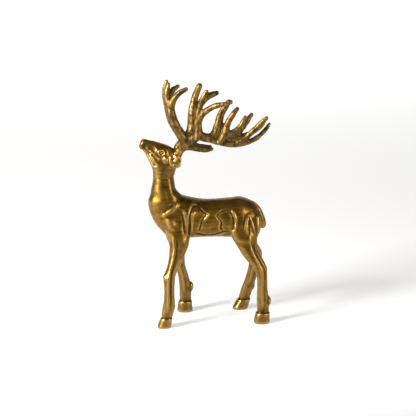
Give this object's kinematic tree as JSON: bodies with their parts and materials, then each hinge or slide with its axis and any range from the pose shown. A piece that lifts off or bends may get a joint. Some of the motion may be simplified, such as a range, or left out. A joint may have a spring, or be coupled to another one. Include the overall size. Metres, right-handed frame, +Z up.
{
  "type": "stag statuette",
  "caption": "Standing cast brass stag statuette with raised head and large branched antlers, free-standing on its hooves, assembled from separate pinned castings.",
  "frame": {"origin": "middle of the statuette's bounding box on the plane that its four soles stand on", "axes": "-X is where the stag looks, -Y its left side, +Z up"},
  "size_m": [0.1272, 0.0644, 0.2443],
  "materials": {
    "body_brass": "antique brass, hand polished on the high spots, dark brown patina in the hollows",
    "head_brass": "antique brass, brighter polish with dark patina in the chased lines",
    "antler_brass": "dark olive-brown antique brass, brushed along the tines",
    "fastener_brass": "bare turned brass, hidden inside or filed flush"
  },
  "bodies": {
    "root": {"body_shell_left": "body_brass", "body_shell_right": "body_brass", "tail": "body_brass", "leg_fore_left": "body_brass", "leg_fore_right": "body_brass", "leg_hind_left": "body_brass", "leg_hind_right": "body_brass", "head": "head_brass", "ear_left": "head_brass", "ear_right": "head_brass", "antler_left": "antler_brass", "antler_right": "antler_brass", "antler_stud_left": "fastener_brass", "antler_stud_right": "fastener_brass", "dowel_belly": "fastener_brass", "dowel_breast": "fastener_brass", "dowel_croup": "fastener_brass", "dowel_withers": "fastener_brass", "neck_sleeve": "fastener_brass", "neck_pin": "fastener_brass", "pin_fore_left": "fastener_brass", "pin_fore_right": "fastener_brass", "pin_hind_left": "fastener_brass", "pin_hind_right": "fastener_brass", "belly_plug": "fastener_brass"}
  },
  "joints": []
}
